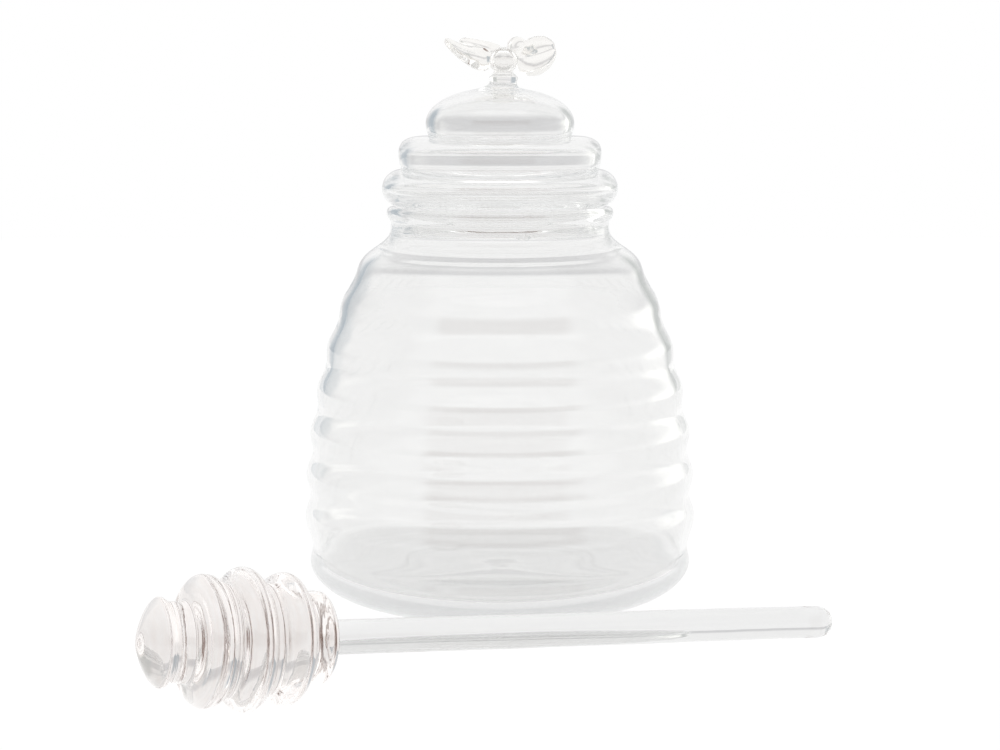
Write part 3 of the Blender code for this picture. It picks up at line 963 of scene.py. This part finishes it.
@dataclass(frozen=True)
class Lid:
    """The hollow lid: plug, two rolls and a dome, with the stem and the bee fused on."""

    seat_height: float = 101.9 * MM
    wall: float = 1.9 * MM
    plug_radius: float = 25.5 * MM
    plug_length: float = 6.8 * MM
    plug_round: float = 0.9 * MM
    seat_land: float = 1.1 * MM
    low_radius: float = 30.55 * MM
    low_height: float = 9.45 * MM
    high_radius: float = 26.25 * MM
    high_height: float = 8.5 * MM
    dome_radius: float = 19.25 * MM
    dome_height: float = 12.3 * MM
    waist_depth: float = 1.0 * MM
    finial_offset: float = 0.9 * MM
    stem_radius: float = 3.35 * MM
    stem_flare: float = 1.5 * MM
    stem_collar: float = 0.5 * MM
    stem_height: float = 3.0 * MM
    thorax_rise: float = 3.8 * MM
    lathe: Lathe = Lathe(steps=144, spacing=0.5 * MM, melt=2)
    hand: Hand = Hand(sway=0.10 * MM, sway_span=30 * MM, ripple=0.012 * MM, ripple_span=10 * MM)

    def dome_top(self) -> float:
        """Gives the height of the dome's top."""
        return self.seat_height + self.low_height + self.high_height + self.dome_height

    def tiers(self, wall: float, foot: Point) -> tuple[Tier, Tier, Tier]:
        """Gives the three bulges, drawn in by a wall.

        Args:
            wall: How far inside the outer face.
            foot: Where the lowest bulge starts.

        Returns:
            The bulges, from the lowest up.
        """
        low_top = self.seat_height + self.low_height
        high_top = low_top + self.high_height
        low_waist = (self.high_radius - self.waist_depth - wall, low_top - wall)
        high_waist = (self.dome_radius - self.waist_depth - wall, high_top - wall)
        return (
            Tier(self.low_radius - wall, foot, self.seat_height + 0.47 * self.low_height,
                 low_waist, 2.0),
            Tier(self.high_radius - wall, low_waist, low_top + 0.43 * self.high_height,
                 high_waist, 2.9),
            Tier(self.dome_radius - wall, high_waist, high_top + 0.245 * self.dome_height,
                 (0.0, self.dome_top() - wall), 2.1),
        )

    def outline(self) -> Outline:
        """Draws the wall from the stem's top, down outside, round the plug and up inside.

        Returns:
            The outline, which starts and ends on the axis.
        """
        outer = Outline()
        for tier in self.tiers(0, (self.plug_radius + self.seat_land, self.seat_height)):
            tier.draw(outer)
        stem_foot = self.stem_radius + self.stem_flare
        face = [point for point in outer.points if point[0] > stem_foot + 0.6 * MM
                or point[1] < self.seat_height + self.low_height]
        top = self.dome_top()
        root = top + self.stem_height + self.thorax_rise / 2
        whole = Outline([(0.0, root)]).add((0.7 * self.stem_radius, root))
        whole.add((0.8 * self.stem_radius, top + 1.1 * self.stem_height))
        whole.corner((self.stem_radius, top + 0.78 * self.stem_height),
                     (self.stem_collar, 0.26 * self.stem_height), (90, -90))
        whole.curve(
            (self.stem_radius, top + 0.1 * self.stem_height),
            (face[-1][0] - 1.2 * MM, face[-1][1] + 0.25 * MM), face[-1],
        )
        whole.add(*reversed(face))
        bore = self.plug_radius - self.wall
        plug_end = self.seat_height - self.plug_length
        whole.add((self.plug_radius, self.seat_height))
        whole.corner(
            (self.plug_radius - self.plug_round, plug_end + self.plug_round),
            (self.plug_round, self.plug_round), (0, -90),
        )
        whole.corner(
            (bore + self.plug_round, plug_end + self.plug_round),
            (self.plug_round, self.plug_round), (-90, -180),
        )
        for tier in self.tiers(self.wall, (bore, self.seat_height + self.wall)):
            tier.draw(whole)
        return whole

    def lean(self, mesh: bpy.types.Mesh) -> None:
        """Moves the stem over to where it was fused, a little off the lid's centre.

        Args:
            mesh: The lid's mesh.
        """
        start = self.dome_top() - 0.6 * MM
        for vertex in mesh.vertices:
            share = min(max((vertex.co.z - start) / (2.2 * MM), 0), 1)
            vertex.co.x += self.finial_offset * share * share * (3 - 2 * share)

    def drip(self) -> bpy.types.Object:
        """Makes the bead of glass that hangs from the plug's end at the front.

        Returns:
            The bead.
        """
        place = Vector((5.8 * MM, -24.0 * MM, self.seat_height - self.plug_length + 0.1 * MM))
        return Bee.bead("drip", place, Vector((3.6, 2.0, 2.4)) * MM, 0)

    def build(self) -> bpy.types.Object:
        """Makes and dresses the lid with its finial.

        Returns:
            The lid.
        """
        mesh = self.lathe.turned("lid_glass", self.outline(), self.hand)
        self.lean(mesh)
        lid = piece_of("lid_glass", mesh)
        centre = Vector((
            self.finial_offset, 0, self.dome_top() + self.stem_height + self.thorax_rise))
        fused = gathered("fused", [Bee(centre).build(), self.drip()])
        union = lid.modifiers.new("fused", "BOOLEAN")
        union.operation = "UNION"
        union.solver = "EXACT"
        union.object = fused
        whole = settled(lid)
        lid.modifiers.clear()
        lid.data = whole
        bpy.data.objects.remove(fused)
        whole.shade_smooth()
        return dressed(lid, [LID_GLASS], "lid", [
            "lid_shell", "finial_stem", "bee_thorax", "bee_head", "bee_abdomen",
            "wing_left_front", "wing_left_back", "wing_right_front", "wing_right_back",
        ])


# Dipper


@dataclass(frozen=True)
class Dipper:
    """The solid dipper: a rod with a ribbed head, lying in front of the pot."""

    rod_radius: float = 3.95 * MM
    rod_length: float = 125.6 * MM
    end_set: float = 0.2 * MM
    end_power: float = 2.4
    groove_radius: float = 12.2 * MM
    rib_radius: float = 15.7 * MM
    rib_pitch: float = 9.5 * MM
    groove_sizes: tuple[float, ...] = (0.81, 0.975, 1.0, 0.713)
    rib_sizes: tuple[float, ...] = (0.656, 0.917, 1.0, 0.911)
    rib_places: tuple[float, ...] = (0.37, 1.165, 2.145, 3.085)
    rib_halves: tuple[float, ...] = (0.3, 0.38, 0.38, 0.4)
    rib_power: float = 1.9
    nose_radius: float = 9.8 * MM
    nose_length: float = 4.78 * MM
    nose_collar: float = 2.2 * MM
    nose_place: float = 4.08
    nose_power: float = 1.35
    clearance: float = 23.15 * MM
    tail_reach: float = 46.3 * MM
    bearing: float = math.radians(206.4)
    lathe: Lathe = Lathe(steps=96, spacing=0.35 * MM, melt=3)
    hand: Hand = Hand(sway=0.16 * MM, sway_span=18 * MM, ripple=0.03 * MM, ripple_span=5 * MM)

    def head_start(self) -> float:
        """Gives how far along the rod the head starts."""
        return self.rod_length + 0.3 * MM

    def ribs(self) -> list[tuple[float, float, float]]:
        """Gives each rib's place along the rod, its radius and half its thickness."""
        return [
            (self.head_start() + place * self.rib_pitch, size * self.rib_radius,
             half * self.rib_pitch)
            for place, size, half in zip(self.rib_places, self.rib_sizes, self.rib_halves)
        ]

    def outline(self) -> Outline:
        """Draws the dipper from its round end to the point of its nose.

        Returns:
            The outline, which starts and ends on the axis.
        """
        whole = Outline().corner(
            (0, self.end_set), (self.rod_radius, self.rod_radius), (-90, 0), self.end_power)
        floor = self.rod_radius
        for (place, radius, half), size in zip(self.ribs(), self.groove_sizes):
            whole.corner((floor, place), (radius - floor, half), (-90, 0), self.rib_power)
            floor = size * self.groove_radius
            whole.corner((floor, place), (radius - floor, half), (0, 90), self.rib_power)
        edge = (self.nose_radius, self.head_start() + self.nose_place * self.rib_pitch)
        whole.add((floor, edge[1] - self.nose_collar))
        whole.ease(edge)
        return whole.corner((0, edge[1]), (self.nose_radius, self.nose_length), (0, 90),
                            self.nose_power)

    def placed(self) -> Matrix:
        """Gives the dipper's place: its round end and its largest rib touch the table.

        Returns:
            The matrix from the upright dipper, round end at the origin, to its place.
        """
        reach, largest, _ = max(self.ribs(), key=lambda rib: rib[1])
        span = math.hypot(reach, largest)
        tilt = math.acos(self.rod_radius / span) - math.atan2(reach, largest)
        flat = Vector((math.cos(self.bearing), math.sin(self.bearing), 0))
        outward = Vector((-flat.y, flat.x, 0))
        along = flat * math.cos(tilt) + Vector((0, 0, math.sin(tilt)))
        down = flat * math.sin(tilt) - Vector((0, 0, math.cos(tilt)))
        nearest = outward * (Pot.belly_radius + self.clearance + self.rod_radius)
        place = nearest - flat * self.tail_reach + Vector((0, 0, self.rod_radius))
        turn = Matrix((down, along.cross(down), along)).transposed().to_4x4()
        return Matrix.Translation(place) @ turn

    def build(self) -> bpy.types.Object:
        """Makes and dresses the dipper.

        Returns:
            The dipper.
        """
        mesh = self.lathe.turned("dipper_glass", self.outline(), self.hand)
        for face in mesh.polygons:
            face.material_index = int(face.center.z > self.head_start())
        lie = self.placed()
        mesh.transform(lie)
        piece = piece_of("dipper_glass", mesh)
        return dressed(piece, [ROD_GLASS, WOUND_GLASS], "dipper",
                       ["dipper_rod", "dipper_head"], lie)


# Studio


@dataclass(frozen=True)
class Lamp:
    """One soft rectangular lamp that is aimed at the pot."""

    name: str
    bearing: float
    rise: float
    distance: float
    size: Point
    brightness: float
    colour: tuple[float, float, float] = (1.0, 1.0, 1.0)

    def build(self, aim: Vector) -> bpy.types.Object:
        """Makes the lamp.

        Args:
            aim: What it points at.

        Returns:
            The lamp.
        """
        side, up = math.radians(self.bearing), math.radians(self.rise)
        out = Vector((math.sin(side) * math.cos(up), -math.cos(side) * math.cos(up),
                      math.sin(up)))
        data = bpy.data.lights.new(self.name, "AREA")
        data.shape = "RECTANGLE"
        data.size, data.size_y = self.size
        data.energy = self.brightness * math.pi * self.size[0] * self.size[1]
        data.color = self.colour
        lamp = bpy.data.objects.new(self.name, data)
        lamp.location = aim + out * self.distance
        lamp.rotation_euler = out.to_track_quat("Z", "Y").to_euler()
        lamp.visible_camera = False
        lamp.visible_glossy = False
        lamp.visible_transmission = False
        bpy.context.scene.collection.objects.link(lamp)
        return lamp


@dataclass(frozen=True)
class Patch:
    """A soft part of the surroundings that shows in the glass.

    Angles are in degrees. Width and height are each half of its full part and half of the
    whole, with its soft edge. A patch with a reach is also painted on the table, as painted
    light that only the glass's reflections and refractions show, from where its soft edge
    starts to where it is full, measured from the pot's axis.
    """

    bearing: float
    rise: float
    width: Point
    height: Point
    colour: tuple[float, float, float]
    reach: Point | None = None

    def way(self) -> tuple[float, float, float]:
        """Gives the level unit vector towards its middle."""
        return (math.sin(math.radians(self.bearing)), -math.cos(math.radians(self.bearing)), 0)

    def climb(self, share: int) -> float:
        """Gives half its height as a difference of sines: 0 for the full part, 1 with the edge."""
        high = math.sin(math.radians(self.rise + self.height[share]))
        return high - math.sin(math.radians(self.rise))


class Painter:
    """Paints patches over white, by the compass way that a vector points in."""

    def __init__(self, tree: bpy.types.NodeTree, vector: bpy.types.NodeSocket) -> None:
        """Takes the tree to paint in.

        Args:
            tree: A shader node tree.
            vector: A place or direction, seen from the pot's axis.
        """
        self.tree = tree
        self.flat = self.vector_math("MULTIPLY", vector, (1, 1, 0)).outputs["Vector"]
        compass = tree.nodes.new("ShaderNodeVectorMath")
        compass.operation = "NORMALIZE"
        tree.links.new(self.flat, compass.inputs[0])
        self.compass = compass.outputs["Vector"]
        height = tree.nodes.new("ShaderNodeSeparateXYZ")
        tree.links.new(vector, height.inputs["Vector"])
        self.height = height.outputs["Z"]

    def vector_math(self, operation: str, vector: bpy.types.NodeSocket,
                    other: Sequence[float]) -> bpy.types.Node:
        """Adds a vector sum with a fixed second vector.

        Args:
            operation: The node's operation.
            vector: The first vector.
            other: The second vector.

        Returns:
            The node.
        """
        node = self.tree.nodes.new("ShaderNodeVectorMath")
        node.operation = operation
        self.tree.links.new(vector, node.inputs[0])
        node.inputs[1].default_value = other
        return node

    def math(self, operation: str, first: bpy.types.NodeSocket,
             second: bpy.types.NodeSocket | float) -> bpy.types.NodeSocket:
        """Adds a sum of two values.

        Args:
            operation: The node's operation.
            first: The first value.
            second: The second value, from a node or fixed.

        Returns:
            The result's socket.
        """
        node = self.tree.nodes.new("ShaderNodeMath")
        node.operation = operation
        self.tree.links.new(first, node.inputs[0])
        if isinstance(second, bpy.types.NodeSocket):
            self.tree.links.new(second, node.inputs[1])
        else:
            node.inputs[1].default_value = second
        return node.outputs["Value"]

    def eased(self, value: bpy.types.NodeSocket, none: float, full: float
              ) -> bpy.types.NodeSocket:
        """Gives a soft mask that is 0 at one value and 1 at another.

        Args:
            value: The value to read.
            none: Where the mask is 0.
            full: Where the mask is 1.

        Returns:
            The mask's socket.
        """
        mask = self.tree.nodes.new("ShaderNodeMapRange")
        mask.interpolation_type = "SMOOTHSTEP"
        mask.inputs["From Min"].default_value = none
        mask.inputs["From Max"].default_value = full
        self.tree.links.new(value, mask.inputs["Value"])
        return mask.outputs["Result"]

    def blended(self, mask: bpy.types.NodeSocket, below: bpy.types.NodeSocket | Sequence[float],
                above: bpy.types.NodeSocket | Sequence[float]) -> bpy.types.NodeSocket:
        """Gives the mix of two colours by a mask.

        Args:
            mask: 0 for the first colour and 1 for the second.
            below: The first colour, from a node or fixed.
            above: The second colour, from a node or fixed.

        Returns:
            The mixed colour's socket.
        """
        node = self.tree.nodes.new("ShaderNodeMix")
        node.data_type = "RGBA"
        ends = [socket for socket in node.inputs if socket.type == "RGBA"]
        self.tree.links.new(mask, node.inputs["Factor"])
        for end, value in zip(ends, (below, above)):
            if isinstance(value, bpy.types.NodeSocket):
                self.tree.links.new(value, end)
            else:
                end.default_value = (*value, 1)
        return next(socket for socket in node.outputs if socket.type == "RGBA")

    def across(self, patch: Patch) -> bpy.types.NodeSocket:
        """Gives the mask of a patch's width.

        Args:
            patch: The patch.

        Returns:
            The mask's socket.
        """
        facing = self.vector_math("DOT_PRODUCT", self.compass, patch.way()).outputs["Value"]
        return self.eased(facing, math.cos(math.radians(patch.width[1])),
                          math.cos(math.radians(patch.width[0])))

    def in_air(self, patch: Patch) -> bpy.types.NodeSocket:
        """Gives the mask of a patch in the surroundings.

        Args:
            patch: The patch.

        Returns:
            The mask's socket.
        """
        above = self.math("SUBTRACT", self.height, math.sin(math.radians(patch.rise)))
        apart = self.math("ABSOLUTE", above, 0.0)
        high = self.eased(apart, patch.climb(1), patch.climb(0))
        return self.math("MULTIPLY", self.across(patch), high)

    def on_table(self, patch: Patch) -> bpy.types.NodeSocket:
        """Gives the mask of a patch on the table.

        Args:
            patch: The patch.

        Returns:
            The mask's socket.
        """
        length = self.tree.nodes.new("ShaderNodeVectorMath")
        length.operation = "LENGTH"
        self.tree.links.new(self.flat, length.inputs[0])
        far = self.eased(length.outputs["Value"], *patch.reach)
        return self.math("MULTIPLY", self.across(patch), far)


WHITE = (1.0, 1.0, 1.0)
BACK_WALL = (0.72, 0.72, 0.73)
FRONT_GLOW = (1.35, 1.35, 1.35)
DARK_ROOM = (0.15, 0.055, 0.025)
DARK_FLAG = (0.50, 0.55, 0.59)
PALE_FLAG = (0.62, 0.64, 0.63)
SOFT_LIGHT = (1.7, 1.7, 1.7)
WINDOW_GLOW = (1.3, 1.3, 1.3)
WINDOW = (2.1, 2.1, 2.0)


@dataclass(frozen=True)
class Studio:
    """White table and surroundings, soft lamps, and the camera at the photograph's angle."""

    aim: Vector = Vector((0, 0, 0.07))
    floor_size: float = 3.0
    floor_white: float = 0.9
    floor_shown: float = 0.9
    table_colour: tuple[float, float, float] = (1.05, 1.05, 1.05)
    room_colour: tuple[float, float, float] = (0.68, 0.68, 0.68)
    patches: tuple[Patch, ...] = (
        Patch(180, 3, (60, 80), (1, 6), BACK_WALL),
        Patch(0, 36, (55, 75), (14, 20), FRONT_GLOW, (0.08, 0.14)),
        Patch(3, 13, (42, 54), (6, 13), DARK_ROOM),
        Patch(-143, 6, (9, 17), (10, 24), DARK_FLAG),
        Patch(151, 6, (5, 11), (10, 24), PALE_FLAG),
        Patch(0, 62, (60, 85), (8, 18), SOFT_LIGHT),
        Patch(98, 5, (14, 42), (3, 9), WINDOW_GLOW),
        Patch(125, 4, (2, 22), (1, 9), WINDOW),
    )
    lamps: tuple[Lamp, ...] = (
        Lamp("window", 116, 15, 1.15, (0.34, 0.42), 5.0),
        Lamp("overhead", 20, 72, 1.2, (0.8, 0.8), 0.9),
        Lamp("front_fill", -40, 35, 1.3, (0.5, 0.5), 0.7),
    )
    camera_place: Vector = Vector((0, -0.560, 0.128))
    camera_pitch: float = math.radians(7.15)
    camera_lens: float = 77.87

    def floor(self) -> bpy.types.Object:
        """Makes the table.

        Returns:
            A white ground that still shows the glass's faint shadow.
        """
        half = self.floor_size / 2
        low = -0.1 * MM
        corners = [(-half, -half, low), (half, -half, low), (half, half, low), (-half, half, low)]
        mesh = bpy.data.meshes.new("table")
        mesh.from_pydata(corners, [], [(0, 1, 2, 3)])
        table = piece_of("table", mesh)
        material = bpy.data.materials.new("white_table")
        material.use_nodes = True
        tree = material.node_tree
        tree.nodes.clear()
        add, link = tree.nodes.new, tree.links.new
        ground = add("ShaderNodeBsdfPrincipled")
        ground.inputs["Base Color"].default_value = (*(self.floor_white,) * 3, 1)
        ground.inputs["Roughness"].default_value = 0.7
        ground.inputs["Specular IOR Level"].default_value = 0.1
        place = add("ShaderNodeTexCoord").outputs["Object"]
        painter = Painter(tree, place)
        colour: object = self.table_colour
        # Patches with a reach, here only the front glow, are painted onto the table: a painted
        # pool of light in front of the pot, seen only in the glass's reflections and refractions.
        for patch in self.patches:
            if patch.reach:
                colour = painter.blended(painter.on_table(patch), colour, patch.colour)
        path = add("ShaderNodeLightPath")
        camera = path.outputs["Is Camera Ray"]
        white = add("ShaderNodeEmission")
        link(painter.blended(camera, colour, self.table_colour), white.inputs["Color"])
        seen = painter.math("MAXIMUM", path.outputs["Is Glossy Ray"],
                            path.outputs["Is Transmission Ray"])
        share = painter.math("MULTIPLY", painter.math("MAXIMUM", seen, camera), self.floor_shown)
        shown = add("ShaderNodeMixShader")
        link(share, shown.inputs["Fac"])
        link(ground.outputs["BSDF"], shown.inputs[1])
        link(white.outputs["Emission"], shown.inputs[2])
        link(shown.outputs["Shader"], add("ShaderNodeOutputMaterial").inputs["Surface"])
        mesh.materials.append(material)
        return table

    def room(self) -> bpy.types.World:
        """Makes the surroundings: white to the eye, dimmer on one side in the glass.

        Returns:
            The world.
        """
        world = bpy.data.worlds.new("room")
        world.use_nodes = True
        bpy.context.scene.world = world
        tree = world.node_tree
        tree.nodes.clear()
        add, link = tree.nodes.new, tree.links.new
        painter = Painter(tree, add("ShaderNodeTexCoord").outputs["Generated"])
        colour: object = WHITE
        for patch in self.patches:
            colour = painter.blended(painter.in_air(patch), colour, patch.colour)
        path = add("ShaderNodeLightPath")
        colour = painter.blended(path.outputs["Is Glossy Ray"], self.room_colour, colour)
        colour = painter.blended(path.outputs["Is Camera Ray"], colour, WHITE)
        back = add("ShaderNodeBackground")
        link(colour, back.inputs["Color"])
        link(back.outputs["Background"], add("ShaderNodeOutputWorld").inputs["Surface"])
        return world

    def camera(self) -> bpy.types.Object:
        """Makes the camera at the photograph's place.

        Returns:
            The camera.
        """
        data = bpy.data.cameras.new("camera")
        data.lens = self.camera_lens
        data.sensor_width = 36.0
        data.clip_start, data.clip_end = 0.01, 20.0
        camera = bpy.data.objects.new("camera", data)
        camera.location = self.camera_place
        camera.rotation_euler = (math.pi / 2 - self.camera_pitch, 0, 0)
        bpy.context.scene.collection.objects.link(camera)
        bpy.context.scene.camera = camera
        return camera

    def build(self) -> None:
        """Sets up the whole studio."""
        scene = bpy.context.scene
        scene.view_settings.view_transform = "Standard"
        scene.cycles.max_bounces = 24
        scene.cycles.transmission_bounces = 24
        scene.cycles.glossy_bounces = 12
        scene.cycles.transparent_max_bounces = 24
        self.floor()
        self.room()
        for lamp in self.lamps:
            lamp.build(self.aim)
        self.camera()
        LOG.info("studio: %d lamps", len(self.lamps))


def main() -> None:
    """Builds the studio and the three loose pieces of the honey pot."""
    logging.basicConfig(level=logging.INFO, format="%(name)s: %(message)s")
    Studio().build()
    for part in (Pot(), Lid(), Dipper()):
        part.build()
    bpy.context.view_layer.update()


if __name__ == "__main__":
    main()
